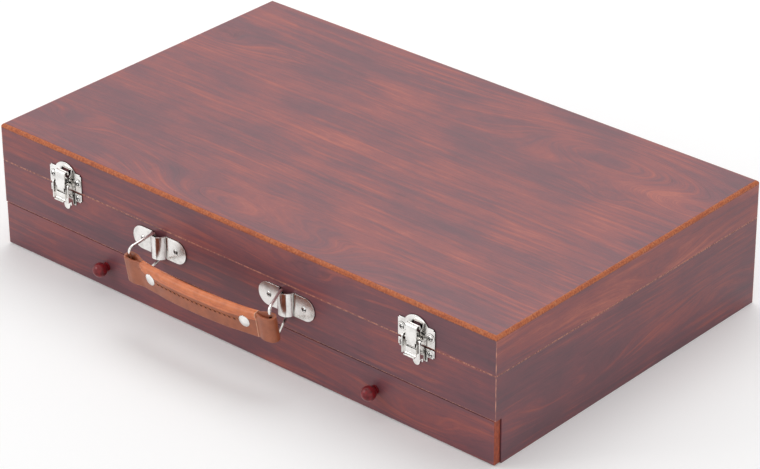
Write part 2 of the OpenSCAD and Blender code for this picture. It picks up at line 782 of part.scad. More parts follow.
// Screws that hold the knobs, put in from behind the drawer front
module knob_screws() color(nickel) for (x = knob_x) on_front(x)
  translate([0, knob_z, -drawer_front_t]) {
    cylinder(r = knob_screw_r, h = drawer_front_t + knob_bore - 0.5);
    translate([0, 0, -knob_screw_head]) cylinder(r = 2.6, h = knob_screw_head);
  }

case_front();
case_left();
case_right();
case_back();
deck_panel();
bottom_panel();
divider_long();
divider_cross();
brush_rest_left();
brush_rest_right();
latch_base_left();
latch_base_right();
lever_pin_left();
lever_pin_right();
handle_plate_left();
handle_plate_right();
case_screws();
hinge_leaf_case_left();
hinge_leaf_case_right();
hinge_pin_left();
hinge_pin_right();
hinge_screws_case();
lid_top();
lid_front();
lid_back();
lid_left();
lid_right();
strike_left();
strike_right();
strike_screws();
hinge_leaf_lid_left();
hinge_leaf_lid_right();
hinge_screws_lid();
drawer_front();
drawer_left();
drawer_right();
drawer_back();
drawer_bottom();
drawer_divider_long();
drawer_divider_cross();
knob_left();
knob_right();
knob_screws();
lever_left();
lever_right();
claw_pin_left();
claw_pin_right();
claw_left();
claw_right();
ring_left();
ring_right();
strap_cover();
strap_liner();
strap_rivets();
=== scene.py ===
import bpy
import bmesh
import json
import math
import random
from mathutils import Matrix, Vector

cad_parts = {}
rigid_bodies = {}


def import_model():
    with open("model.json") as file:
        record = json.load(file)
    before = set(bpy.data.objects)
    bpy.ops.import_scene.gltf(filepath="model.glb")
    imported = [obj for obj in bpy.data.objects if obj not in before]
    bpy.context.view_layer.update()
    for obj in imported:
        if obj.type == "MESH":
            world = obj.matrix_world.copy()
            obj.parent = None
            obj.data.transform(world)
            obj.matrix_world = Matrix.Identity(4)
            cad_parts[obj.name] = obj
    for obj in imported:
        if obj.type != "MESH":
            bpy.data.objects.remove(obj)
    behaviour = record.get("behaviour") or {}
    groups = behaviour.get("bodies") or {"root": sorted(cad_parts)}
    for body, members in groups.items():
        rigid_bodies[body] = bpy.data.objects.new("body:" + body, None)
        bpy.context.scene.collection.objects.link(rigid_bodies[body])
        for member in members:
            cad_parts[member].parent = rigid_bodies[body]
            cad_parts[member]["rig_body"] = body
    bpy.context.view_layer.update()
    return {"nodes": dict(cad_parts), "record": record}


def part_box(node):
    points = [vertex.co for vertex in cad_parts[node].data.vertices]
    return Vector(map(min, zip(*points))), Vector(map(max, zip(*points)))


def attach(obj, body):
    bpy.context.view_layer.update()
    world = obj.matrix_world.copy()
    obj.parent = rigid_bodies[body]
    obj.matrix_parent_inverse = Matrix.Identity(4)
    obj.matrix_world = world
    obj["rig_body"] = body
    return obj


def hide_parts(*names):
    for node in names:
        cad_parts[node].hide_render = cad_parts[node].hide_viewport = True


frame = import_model()
MM = 0.001

# Places and sizes read from the frame
top_low, top_high = (Vector(v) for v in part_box("lid_top"))
BOX_W = top_high.x - top_low.x
BOX_D = top_high.y - top_low.y
BOX_H = top_high.z
EDGE_LOW = top_low.z
FACE_Y = top_low.y
SEAM_Z = Vector(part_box("lid_front")[0]).z
RAIL_Z = Vector(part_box("case_front")[0]).z
JOINTS = {j["name"]: j for j in frame["record"]["behaviour"]["joints"]}

# Camera at the photograph's viewing angle, in degrees, metres and millimetres of lens
CAMERA = {"azimuth": 41.762, "elevation": 28.59, "roll": -0.4, "distance": 2.039,
          "right": 0.00421, "up": -0.01467, "lens": 149.36}

# Square lamps: azimuth, elevation, size in metres and watts
LAMPS = {"key": (-40, 30, 0.8, 7), "top": (205, 66, 1.6, 18)}
LAMP_DISTANCE = 2.2
# Level of the world's own light, which the lamps bring up to about 1 on the top
SKY = 0.6
# What the floor adds to its own light where it is seen, so that it shows nearly white
FLOOR_GLOW = 0.14
FLOOR_HALF = 6.0


def direction(azimuth, elevation):
    """Way out from the object. Azimuth 0 is the front, and it grows to the right."""
    az, el = math.radians(azimuth), math.radians(elevation)
    return Vector((math.sin(az) * math.cos(el), -math.cos(az) * math.cos(el), math.sin(el)))


def link(name, data):
    obj = bpy.data.objects.new(name, data)
    bpy.context.scene.collection.objects.link(obj)
    return obj


def add_camera():
    back = direction(CAMERA["azimuth"], CAMERA["elevation"])
    roll = math.radians(CAMERA["roll"])
    right = Vector((0, 0, 1)).cross(back).normalized()
    up = back.cross(right)
    side = right * math.cos(roll) + up * math.sin(roll)
    top = up * math.cos(roll) - right * math.sin(roll)
    place = Vector((0, 0, BOX_H / 2)) + side * CAMERA["right"] + top * CAMERA["up"]
    place += back * CAMERA["distance"]
    data = bpy.data.cameras.new("camera")
    data.lens = CAMERA["lens"]
    data.sensor_width = 36
    data.clip_end = 20
    camera = link("camera", data)
    turn = Matrix((side, top, back)).transposed().to_4x4()
    camera.matrix_world = Matrix.Translation(place) @ turn
    bpy.context.scene.camera = camera


def add_lamps():
    for name, (azimuth, elevation, size, watts) in LAMPS.items():
        way = direction(azimuth, elevation)
        data = bpy.data.lights.new(name, "AREA")
        data.size = size
        data.energy = watts
        lamp = link(name, data)
        lamp.location = way * LAMP_DISTANCE
        lamp.rotation_euler = way.to_track_quat("Z", "Y").to_euler()


def seeing_rays(tree):
    """1 for the rays that show the background: to the camera, in reflections and through glass."""
    path = tree.nodes.new("ShaderNodeLightPath")
    seen = path.outputs["Is Camera Ray"]
    for ray in ("Is Glossy Ray", "Is Transmission Ray"):
        larger = tree.nodes.new("ShaderNodeMath")
        larger.operation = "MAXIMUM"
        tree.links.new(seen, larger.inputs[0])
        tree.links.new(path.outputs[ray], larger.inputs[1])
        seen = larger.outputs[0]
    return seen


def set_world():
    """White wherever it is seen, and plain soft light on everything else."""
    world = bpy.data.worlds.new("world")
    world.use_nodes = True
    bpy.context.scene.world = world
    tree = world.node_tree
    back = tree.nodes["Background"]
    back.inputs["Color"].default_value = (1, 1, 1, 1)
    level = tree.nodes.new("ShaderNodeMapRange")
    level.inputs["To Min"].default_value = SKY
    level.inputs["To Max"].default_value = 1.0
    tree.links.new(seeing_rays(tree), level.inputs["Value"])
    tree.links.new(level.outputs[0], back.inputs["Strength"])


def add_floor():
    n = Nodes("floor")
    glow = n.times(seeing_rays(n.tree), FLOOR_GLOW)
    pale = n.finish(Base_Color=(0.9, 0.9, 0.9), Roughness=0.8, Emission_Color=(1, 1, 1),
                    Emission_Strength=glow)
    corners = [(x * FLOOR_HALF, y * FLOOR_HALF, 0) for x, y in ((-1, -1), (1, -1), (1, 1), (-1, 1))]
    data = bpy.data.meshes.new("floor")
    data.from_pydata(corners, [], [(0, 1, 2, 3)])
    data.materials.append(pale)
    floor = link("floor", data)
    floor.location.z = -0.2 * MM


class Nodes:
    """A material's node tree, with one short call for each kind of node."""

    def __init__(self, name):
        self.material = bpy.data.materials.new(name)
        self.material.use_nodes = True
        self.tree = self.material.node_tree
        self.shader = self.tree.nodes["Principled BSDF"]

    def put(self, kind, inputs=(), out=0, **settings):
        node = self.tree.nodes.new(kind)
        for key, value in settings.items():
            setattr(node, key, value)
        for socket, value in dict(inputs).items():
            self.join(value, node.inputs[socket])
        return node.outputs[out]

    def join(self, value, socket):
        if isinstance(value, bpy.types.NodeSocket):
            self.tree.links.new(value, socket)
        elif socket.type == "RGBA":
            socket.default_value = (*value, 1)
        else:
            socket.default_value = value

    def math(self, operation, a, b=0.0, clamp=False):
        return self.put("ShaderNodeMath", {0: a, 1: b}, operation=operation, use_clamp=clamp)

    def plus(self, a, b):
        return self.math("ADD", a, b)

    def minus(self, a, b):
        return self.math("SUBTRACT", a, b)

    def times(self, a, b):
        return self.math("MULTIPLY", a, b)

    def total(self, *parts):
        """Sum of pairs of a value and its share."""
        value = self.times(*parts[0])
        for part in parts[1:]:
            value = self.plus(value, self.times(*part))
        return value

    def mix(self, factor, a, b, blend="MIX"):
        node = self.tree.nodes.new("ShaderNodeMix")
        node.data_type = "RGBA"
        node.blend_type = blend
        for socket, value in (("Factor_Float", factor), ("A_Color", a), ("B_Color", b)):
            self.join(value, next(s for s in node.inputs if s.identifier == socket))
        return next(s for s in node.outputs if s.identifier == "Result_Color")

    def place(self):
        """Place on the object in metres."""
        return self.put("ShaderNodeTexCoord", out="Object")

    def axes(self):
        """The place as its x, y and z."""
        split = self.tree.nodes.new("ShaderNodeSeparateXYZ")
        self.tree.links.new(self.place(), split.inputs[0])
        return split.outputs

    def noise(self, vector, scale, detail=3.0, rough=0.5):
        return self.put("ShaderNodeTexNoise", {"Vector": vector, "Scale": scale,
                                               "Detail": detail, "Roughness": rough})

    def streaks(self, *axes, detail=3.0, rough=0.5):
        """Noise on up to three axes, each a number or a pair of a value and its scale."""
        places = [self.times(*axis) if isinstance(axis, tuple) else axis for axis in axes]
        vector = self.put("ShaderNodeCombineXYZ", dict(enumerate(places)))
        return self.noise(vector, 1.0, detail, rough)

    def ramp(self, value, stops):
        node = self.tree.nodes.new("ShaderNodeValToRGB")
        self.tree.links.new(value, node.inputs[0])
        elements = node.color_ramp.elements
        while len(elements) < len(stops):
            elements.new(0.5)
        for element, (at, colour) in zip(elements, stops):
            element.position = at
            element.color = (*colour, 1)
        return node.outputs[0]

    def step(self, value, low, high):
        """Smooth rise from 0 at low to 1 at high."""
        return self.put("ShaderNodeMapRange", {0: value, 1: low, 2: high, 3: 0.0, 4: 1.0},
                        interpolation_type="SMOOTHSTEP")

    def near(self, value, middle, half):
        """1 close to the middle, and 0 from half a width away."""
        gap = self.math("ABSOLUTE", self.minus(value, middle))
        return self.minus(1.0, self.step(gap, half * 0.6, half))

    def bump(self, height, distance, strength, **normal):
        return self.put("ShaderNodeBump", {"Height": height, "Distance": distance,
                                           "Strength": strength, **normal})

    def finish(self, **sockets):
        for name, value in sockets.items():
            self.join(value, self.shader.inputs[name.replace("_", " ")])
        return self.material


# Colours of the printed foil
DARK = (0.12, 0.057, 0.074)
BROWN = (0.195, 0.066, 0.08)
RED = (0.307, 0.081, 0.078)
ORANGE = (0.51, 0.144, 0.096)
ARC = (0.45, 0.112, 0.078)
VEIN = (0.083, 0.041, 0.057)

# Colours of the board under the foil, raw and stained
RAW_EDGE = (0.72, 0.324, 0.228)
STAIN = (0.527, 0.128, 0.035)
STAIN_DARK = (0.338, 0.068, 0.022)
STAIN_LIGHT = (0.5, 0.15, 0.05)
# Painted highlight along the top of the panel's rounded edge
STAIN_HIGHLIGHT = (0.62, 0.26, 0.12)
STAIN_CHIP = (0.66, 0.3, 0.16)
STAIN_LINE = (0.06, 0.016, 0.01)
END_STAIN = (0.43, 0.068, 0.013)
END_STAIN_DARK = (0.28, 0.036, 0.008)

# Swellings that bend the grain into loops: x, y, long, wide and lift, in millimetres
TOP_LOOPS = ((-30, -118, 62, 20, 30), (52, -122, 46, 18, 24), (130, 96, 84, 24, -44),
             (150, 49, 13, 6, 12), (196, 70, 30, 12, 18), (-196, 60, 40, 14, 18),
             (-178, -96, 22, 8, 12))
FRONT_LOOPS = ((150, 8, 46, 9, 12), (-120, 50, 40, 7, 9), (-30, 18, 60, 8, -9),
               (60, 74, 60, 8, 9))
SIDE_LOOPS = ((30, 66, 44, 8, 10), (-60, 20, 60, 10, 13), (90, 30, 50, 9, -11))
GRAIN_SWAY = 11 * MM

# Worn lines, where the board shows at the edges of the foil
RIM_LINE = SEAM_Z - 0.3 * MM
LINE_HALF = 0.34 * MM
CORNER_LINE = 0.5 * MM
# Distance from the middle at which the drawer front's end turns into stained board
END_CUT_FROM = BOX_W / 2 - 1.05 * MM
END_CUT_FULL = BOX_W / 2 - 0.9 * MM
# Distance in from the top panel's sides where its stained edge turns into foil
STAIN_END = 1.5 * MM
FOIL_START = 1.9 * MM
STAIN_RAGGED = 0.9 * MM


def bent_grain(n, along, across, loops):
    """Height whose level lines are the grain, bent into loops by a few swellings."""
    level = across
    for x, y, long, wide, lift in loops:
        u = n.math("DIVIDE", n.minus(along, x * MM), long * MM)
        v = n.math("DIVIDE", n.minus(across, y * MM), wide * MM)
        gap = n.plus(n.times(u, u), n.times(v, v))
        swell = n.math("EXPONENT", n.times(gap, -1.0))
        level = n.plus(level, n.times(swell, lift * MM))
    return level


def foil(n, along, across, loops, seed, warmth=0.0):
    """Colour, roughness and fine height of the wood-grain foil."""
    level = bent_grain(n, along, across, loops)
    sway = n.streaks((along, 6.0), (across, 20.0), seed)
    level = n.plus(level, n.times(sway, GRAIN_SWAY))

    def layer(height, long, wide, shift, detail, rough=0.5):
        return n.streaks((along, long), (height, wide), seed + shift, detail=detail, rough=rough)

    patches = layer(across, 16.0, 34.0, 6.2, 4.0, 0.6)
    broad = layer(level, 5.0, 60.0, 1.7, 4.0, 0.6)
    bands = layer(level, 11.0, 330.0, 4.1, 4.0, 0.6)
    lines = layer(level, 26.0, 1100.0, 8.3, 3.0, 0.6)
    pores = layer(across, 330.0, 2300.0, 3.0, 2.0)
    flecks = layer(level, 120.0, 1500.0, 5.0, 2.0)
    tone = n.total((patches, 0.42), (broad, 0.34), (bands, 0.3), (lines, 0.18), (pores, 0.14),
                   (flecks, 0.12))
    tone = n.plus(tone, warmth - 0.25)
    colour = n.ramp(tone, [(0.32, DARK), (0.48, BROWN), (0.6, RED), (0.74, ORANGE)])
    arcs = n.times(n.step(bands, 0.55, 0.66), n.step(patches, 0.38, 0.56))
    colour = n.mix(n.times(arcs, 0.4), colour, ARC)
    veins = n.times(n.step(lines, 0.57, 0.68), n.step(patches, 0.6, 0.42))
    colour = n.mix(n.times(veins, 0.5), colour, VEIN)
    short = n.step(pores, 0.6, 0.72)
    colour = n.mix(n.times(short, 0.4), colour, VEIN)
    rough = n.plus(0.34, n.times(bands, 0.12))
    return colour, rough, n.minus(n.times(lines, 0.4), short)


def worn_edge(n, x, y, z, seams, corners):
    """1 where the foil is worn through, along the seams and at the upright corners."""
    edge = 0.0
    for line in seams:
        edge = n.math("MAXIMUM", edge, n.near(z, line, LINE_HALF))
    if corners:
        at_x, at_y = (n.step(n.math("ABSOLUTE", value), size / 2 - CORNER_LINE,
                             size / 2 - CORNER_LINE / 2)
                      for value, size in ((x, BOX_W), (y, BOX_D)))
        edge = n.math("MAXIMUM", edge, n.times(n.times(at_x, at_y), 0.8))
    chips = n.streaks((x, 900.0), (y, 900.0), (z, 200.0), detail=2.0)
    return n.math("MULTIPLY", edge, n.plus(0.25, n.step(chips, 0.44, 0.62)), clamp=True)


def stained_ends(n, x, y, z, colour):
    """The colour with stained board on the two ends."""
    cut = n.step(n.math("ABSOLUTE", x), END_CUT_FROM, END_CUT_FULL)
    speck = n.streaks((y, 700.0), (z, 300.0))
    stain = n.mix(n.step(speck, 0.35, 0.65), END_STAIN_DARK, END_STAIN)
    return n.mix(cut, colour, stain)


def wood_material(name, side, seed, loops, seams=(), corners=True, ends=False, warmth=0.0):
    """Foil-wrapped board. side is the axis that the outer face looks along."""
    n = Nodes(name)
    x, y, z = n.axes()
    colour, rough, height = foil(n, {"y": x, "x": y}[side], z, loops, seed, warmth)
    colour = n.mix(worn_edge(n, x, y, z, seams, corners), colour, RAW_EDGE)
    if ends:
        colour = stained_ends(n, x, y, z, colour)
    return n.finish(Base_Color=colour, Roughness=rough, Normal=n.bump(height, 0.04 * MM, 0.6))


def stained_edge(n, x, y, z, ragged):
    """Colour and fibres of the stained board: a ragged painted highlight along the top, a dark line
    below, specks.
    """
    fibres = n.streaks((n.plus(x, y), 120.0), (z, 900.0), detail=4.0, rough=0.6)
    blots = n.streaks((x, 38.0), (y, 38.0))
    stain = n.ramp(n.total((fibres, 0.6), (blots, 0.4)),
                   [(0.34, STAIN_DARK), (0.5, STAIN), (0.7, STAIN_LIGHT)])
    # Ragged lighter strip along the top of the round, standing in for the light it catches: painted
    # highlight.
    pale = n.times(n.near(z, BOX_H - 0.5 * MM, 0.5 * MM), n.step(ragged, 0.4, 0.7))
    stain = n.mix(n.times(pale, 0.18), stain, STAIN_HIGHLIGHT)
    specks = n.streaks((x, 900.0), (y, 900.0), (z, 500.0), detail=2.0)
    stain = n.mix(n.times(n.step(specks, 0.52, 0.62), 0.8), stain, STAIN_DARK)
    stain = n.mix(n.times(n.step(specks, 0.44, 0.34), 0.3), stain, STAIN_CHIP)
    low = n.minus(1.0, n.step(z, EDGE_LOW, EDGE_LOW + 0.5 * MM))
    low = n.math("MULTIPLY", low, n.plus(0.35, n.step(specks, 0.42, 0.58)), clamp=True)
    return n.mix(n.times(low, 0.75), stain, STAIN_LINE), fibres


def top_material():
    """Foil on the flat of the top panel, stained board on its rounded edges."""
    n = Nodes("top_panel")
    x, y, z = n.axes()
    colour, rough, height = foil(n, x, y, TOP_LOOPS, seed=12.0, warmth=0.03)
    ragged = n.streaks((x, 260.0), (y, 260.0))
    inset = n.math("MINIMUM", n.minus(BOX_W / 2, n.math("ABSOLUTE", x)),
                   n.minus(BOX_D / 2, n.math("ABSOLUTE", y)))
    inset = n.plus(inset, n.times(n.minus(ragged, 0.5), STAIN_RAGGED))
    flat = n.step(inset, STAIN_END, FOIL_START)
    stain, fibres = stained_edge(n, x, y, z, ragged)
    rough = n.plus(n.times(flat, -0.17), n.plus(rough, 0.17))
    bumps = n.plus(height, n.times(fibres, n.minus(1.0, flat)))
    return n.finish(Base_Color=n.mix(flat, stain, colour), Roughness=rough,
                    Normal=n.bump(bumps, 0.05 * MM, 0.6))


def inner_material():
    """Bare thin board and plywood inside the box."""
    n = Nodes("bare_wood")
    x, y, z = n.axes()
    grain = n.streaks((x, 14.0), (y, 160.0), (z, 160.0), detail=4.0, rough=0.6)
    fine = n.streaks((x, 90.0), (y, 1400.0), (z, 1400.0), detail=2.0)
    colour = n.ramp(n.total((grain, 0.75), (fine, 0.25)),
                    [(0.3, (0.46, 0.3, 0.17)), (0.5, (0.6, 0.43, 0.26)),
                     (0.7, (0.726, 0.55, 0.352))])
    return n.finish(Base_Color=colour, Roughness=0.62, Normal=n.bump(fine, 0.06 * MM, 0.5))


def nickel_material():
    """Bright nickel plate on pressed steel, with soft edges, faint marks and painted shade in its
    crevices.
    """
    n = Nodes("nickel_plate")
    place = n.place()
    marks = n.noise(place, 150.0, 3.0, 0.6)
    waves = n.noise(place, 70.0, 1.0)
    colour = n.ramp(marks, [(0.3, (0.68, 0.665, 0.64)), (0.55, (0.92, 0.905, 0.88))])
    # The occlusion share darkens the colour to near black in crevices, gaps and round the screws:
    # painted shade.
    open_share = n.put("ShaderNodeAmbientOcclusion", {"Distance": 2.2 * MM}, out=1, samples=8)
    shade = n.ramp(open_share, [(0.34, (0.02, 0.019, 0.018)), (0.6, (0.2, 0.19, 0.18)),
                                (0.88, (1, 1, 1))])
    colour = n.mix(1.0, colour, shade, "MULTIPLY")
    rough = n.plus(0.14, n.times(marks, 0.1))
    soft = n.put("ShaderNodeBevel", {"Radius": 0.25 * MM}, samples=6)
    return n.finish(Base_Color=colour, Metallic=1.0, Roughness=rough,
                    Normal=n.bump(waves, 0.12 * MM, 0.5, Normal=soft))


def knob_material():
    """Turned wood under a deep red-brown gloss lacquer."""
    n = Nodes("red_lacquer")
    place = n.place()
    grain = n.noise(place, 420.0)
    colour = n.ramp(grain, [(0.35, (0.14, 0.004, 0.009)), (0.6, (0.26, 0.012, 0.018))])
    return n.finish(Base_Color=colour, Roughness=0.3, Coat_Weight=0.25, Coat_Roughness=0.05,
                    Specular_IOR_Level=0.3)


def leather_material(name, colour, dark):
    """Waxed leather with a fine grain and soft blots."""
    n = Nodes(name)
    place = n.place()
    grain = n.put("ShaderNodeTexVoronoi", {"Vector": place, "Scale": 1500.0, "Randomness": 1.0},
                  feature="DISTANCE_TO_EDGE")
    blots = n.noise(place, 160.0, 4.0, 0.6)
    fine = n.noise(place, 2600.0, 2.0)
    light = tuple(c * 1.15 for c in colour)
    shade = n.ramp(blots, [(0.32, dark), (0.55, colour), (0.75, light)])
    height = n.plus(n.step(grain, 0.0, 0.16), n.times(fine, 0.5))
    rough = n.plus(0.27, n.times(blots, 0.14))
    return n.finish(Base_Color=shade, Roughness=rough, Normal=n.bump(height, 0.03 * MM, 0.5))


def thread_material():
    n = Nodes("brown_thread")
    place = n.place()
    strands = n.noise(place, 5000.0, 2.0)
    colour = n.ramp(strands, [(0.3, (0.34, 0.11, 0.05)), (0.7, (0.5, 0.19, 0.09))])
    return n.finish(Base_Color=colour, Roughness=0.75)


WOOD = {
    "case_front": wood_material("front_rail_foil", side="y", seed=3.0, loops=FRONT_LOOPS,
                                seams=(RIM_LINE, RAIL_Z)),
    "drawer_front": wood_material("drawer_front_foil", side="y", seed=5.0, loops=FRONT_LOOPS,
                                  corners=False, ends=True),
    "lid_front": wood_material("lid_front_foil", side="y", seed=7.0, loops=FRONT_LOOPS,
                               seams=(SEAM_Z,)),
    "case_back": wood_material("case_back_foil", side="y", seed=9.0, loops=FRONT_LOOPS,
                               seams=(RIM_LINE,)),
    "lid_back": wood_material("lid_back_foil", side="y", seed=11.0, loops=FRONT_LOOPS,
                              seams=(SEAM_Z,)),
    "case_side": wood_material("case_side_foil", side="x", seed=13.0, loops=SIDE_LOOPS,
                               seams=(RIM_LINE,), warmth=-0.02),
    "lid_side": wood_material("lid_side_foil", side="x", seed=15.0, loops=SIDE_LOOPS,
                              seams=(SEAM_Z,), warmth=0.1),
    "lid_top": top_material(),
}
WOOD_NODES = {"case_left": "case_side", "case_right": "case_side", "lid_left": "lid_side",
              "lid_right": "lid_side"}
NICKEL = nickel_material()
BARE = inner_material()
LACQUER = knob_material()


def material_for(node):
    if node in WOOD or node in WOOD_NODES:
        return WOOD[WOOD_NODES.get(node, node)]
    if node in ("knob_left", "knob_right"):
        return LACQUER
    if node.startswith(("drawer", "deck", "bottom", "divider", "brush")):
        return BARE
    return NICKEL


def dress_cad():
    for name, node in frame["nodes"].items():
        node.data.materials.clear()
        node.data.materials.append(material_for(name))


# Strap of the handle, in millimetres. The first block is the same as in the CAD.
RING_TURN = 23  # of the right ring at rest, in degrees
STRAP_H = 18.5
STRAP_LOW = -10.8  # from the strap joint down to the lower edge
STRAP_BOW = 4.2
STRAP_CUT = 9.5  # from the right bar back to the cover's cut end
RIVET_IN = 19.5
LOOP_HALF = 3.95  # half thickness over a loop
LOOP_INNER = 2.25  # half of the hole in a loop
LOOP_END = 10.5  # from the bar to where the hole ends
THIN_FROM, THIN_FULL = 2, 12.5  # from the bar, where a loop thins down to the neck
NECK_HALF = 1.85

ROLL_HALF = 3.1  # half thickness of the rolled top edge
ROLL_FROM, ROLL_FULL = 8.5, 16  # from the left bar, where the edge rolls over
ROLL_EASE = 20  # from the right bar to where the roll starts to flatten
PAD_FROM, PAD_FULL = 4.5, 13  # beyond a rivet, where the padding rises
CREASE_V = 14.3  # height of the crease under the roll
CREASE_DEEP = 0.55
CREASE_HALF = 0.5
GROOVE_HALF = 0.8
EDGE_R = 0.35
PAD = 0.4
GROOVE = 0.35
TAIL_LEN = 16  # of the inner layer's right loop
TAIL_STEP = 0.5
LOOP_ZONE = 24  # from the left bar, as far as the outlines lie close
LOOP_STEP = 0.6
LONG_STEPS = 70
BEND_STEPS = 18
FACE_STEPS = 60
UPPER_FACE = 51  # first face of an outline that can take the painted highlight
CUT_FACES = (2, 3)  # faces of an outline in its bottom round, which show the cut edge
PAINTED_HIGHLIGHT_FROM = 11.7  # from the left bar to where the painted highlight on the roll starts

STITCH_V = 9.1
STITCH_PITCH = 3.8
STITCH_END = 5.5  # from a rivet to the first stitch
STITCH_R = 0.42
STITCH_HALF = 0.75
STITCH_SLANT = 0.35 / 0.75  # drop per length along the strap
HOLE_ENDS = (1.25, 2.55)  # from the middle of a stitch
HOLE_IN = 0.12
HOLE_SLANT = 0.3

# Places of the materials on a strap piece and on the stitches
# The third place on a strap piece holds the lighter leather of the painted highlight on the roll.
LEATHER, CUT_EDGE, PAINTED_HIGHLIGHT = 0, 1, 2
# The second place on the stitches holds the near-black painted shade of the slots.
THREAD, HOLE = 0, 1


def smooth(a, b, x):
    t = max(0.0, min(1.0, (x - a) / (b - a)))
    return t * t * (3 - 2 * t)


class Strap:
    """Places points by distance along the strap, distance out and height, in millimetres."""

    def __init__(self):
        across = Vector((1, 0, 0))
        turn = math.radians(RING_TURN)
        self.up = Vector(JOINTS["strap_pivot"]["axis"]).normalized()
        self.start = Vector(JOINTS["strap_pivot"]["pos_m"])
        reach = (self.start - Vector(JOINTS["ring_left_pivot"]["pos_m"])).length
        out = across.cross(self.up).normalized()
        end = Vector(JOINTS["ring_right_pivot"]["pos_m"])
        end += (across * math.sin(turn) + out * math.cos(turn)) * reach
        self.span = (end - self.start).length / MM
        self.along = (end - self.start).normalized()
        self.out = self.along.cross(self.up).normalized()

    def mid(self, u):
        return STRAP_BOW * 4 * u / self.span * (1 - u / self.span)

    def slope(self, u):
        return 4 * STRAP_BOW / self.span * (1 - 2 * u / self.span)

    def half(self, u):
        """Half thickness of the flat parts at a distance from the nearer bar."""
        return LOOP_HALF + (NECK_HALF - LOOP_HALF) * smooth(THIN_FROM, THIN_FULL, u)

    def gap(self, u):
        """Half of the hole between the two layers of a loop."""
        if u > LOOP_END:
            return 0.0
        return LOOP_INNER - (LOOP_INNER - 0.2) * smooth(3, LOOP_END, u)

    def at(self, u, out, height):
        return (self.start + self.along * (u * MM) + self.out * (out * MM)
                + self.up * ((STRAP_LOW + height) * MM))


def band_section(inner, low, high, roll, bottom, top, groove):
    """Closed outline of a band as (distance out, height): a flat inner face, a small round at
    the bottom edge, a stitched hollow at mid height and a top edge rolled over by a share."""
    top_v = EDGE_R + (ROLL_HALF - EDGE_R) * roll
    points = [(inner, bottom)]
    for k in range(5):
        a = math.radians(22.5 * k)
        points.append((low - EDGE_R + EDGE_R * math.sin(a), bottom + EDGE_R - EDGE_R * math.cos(a)))
    for k in range(1, FACE_STEPS):
        v = bottom + EDGE_R + (top - top_v - bottom - EDGE_R) * k / FACE_STEPS
        depth = low + (high - low) * smooth(CREASE_V, CREASE_V + 0.9, v)
        depth -= groove * math.exp(-((v - STITCH_V) / GROOVE_HALF) ** 2)
        depth -= CREASE_DEEP * roll * math.exp(-((v - CREASE_V) / CREASE_HALF) ** 2)
        points.append((depth, v))
    top_d = EDGE_R + (high - inner - EDGE_R) * roll
    for k in range(9):
        a = math.radians(11.25 * k)
        points.append((high - top_d + top_d * math.cos(a), top - top_v + top_v * math.sin(a)))
    points.append((inner, top))
    return points


def cover_section(strap, u):
    near = min(u, strap.span - u)
    left = u < strap.span / 2
    ease = 0.5 + 0.5 * smooth(STRAP_CUT, ROLL_EASE, strap.span - u)
    roll = smooth(ROLL_FROM, ROLL_FULL, u) * ease
    pad = smooth(RIVET_IN + PAD_FROM, RIVET_IN + PAD_FULL, near)
    low = strap.half(near if left else max(near, STRAP_CUT + 2)) + PAD * pad
    high = low + (ROLL_HALF - low) * roll
    inner = strap.gap(u) if left else 0.0
    return band_section(inner, low, high, roll, 0.0, STRAP_H, GROOVE * pad)


def tail_section(strap, u):
    outer = strap.half(u) - 0.6 * smooth(4, 10, u)
    inner = min(strap.gap(u), outer - 0.5)
    return band_section(inner, outer, outer, 0.0, 0.35, STRAP_H - 0.5, 0.0)


def strap_path(strap, places, section, flip=False):
    """Outlines of a band that runs in along its front, round a bar and back along its rear."""
    def point(u, out, height):
        return strap.at(strap.span - u if flip else u, out, height)

    def layer(side, us):
        return [[point(u, strap.mid(u) + side * d, v) for d, v in section(strap, u)] for u in us]

    turns = [math.radians(90 + 180 * k / BEND_STEPS) for k in range(1, BEND_STEPS)]
    bend = [[point(d * math.cos(a), d * math.sin(a), v) for d, v in section(strap, 0.0)]
            for a in turns]
    return layer(1, places) + bend + layer(-1, places[::-1])


def sweep(name, loops, materials, kind):
    """Mesh through closed outlines of equal length. kind gives the material of each face."""
    count = len(loops[0])
    faces, kinds = [], []
    for i in range(len(loops) - 1):
        one, two = i * count, (i + 1) * count
        for j in range(count):
            k = (j + 1) % count
            faces.append((one + j, one + k, two + k, two + j))
            kinds.append(kind(i, j))
    sides = len(faces)
    last = (len(loops) - 1) * count
    faces += [tuple(reversed(range(count))), tuple(range(last, last + count))]
    kinds += [CUT_EDGE, CUT_EDGE]
    data = bpy.data.meshes.new(name)
    data.from_pydata([p for loop in loops for p in loop], [], faces)
    for material in materials:
        data.materials.append(material)
    data.polygons.foreach_set("material_index", kinds)
    data.polygons.foreach_set("use_smooth", [k < sides for k in range(len(faces))])
    mesh = bmesh.new()
    mesh.from_mesh(data)
    bmesh.ops.recalc_face_normals(mesh, faces=mesh.faces)
    mesh.to_mesh(data)
    mesh.free()
    return link(name, data)


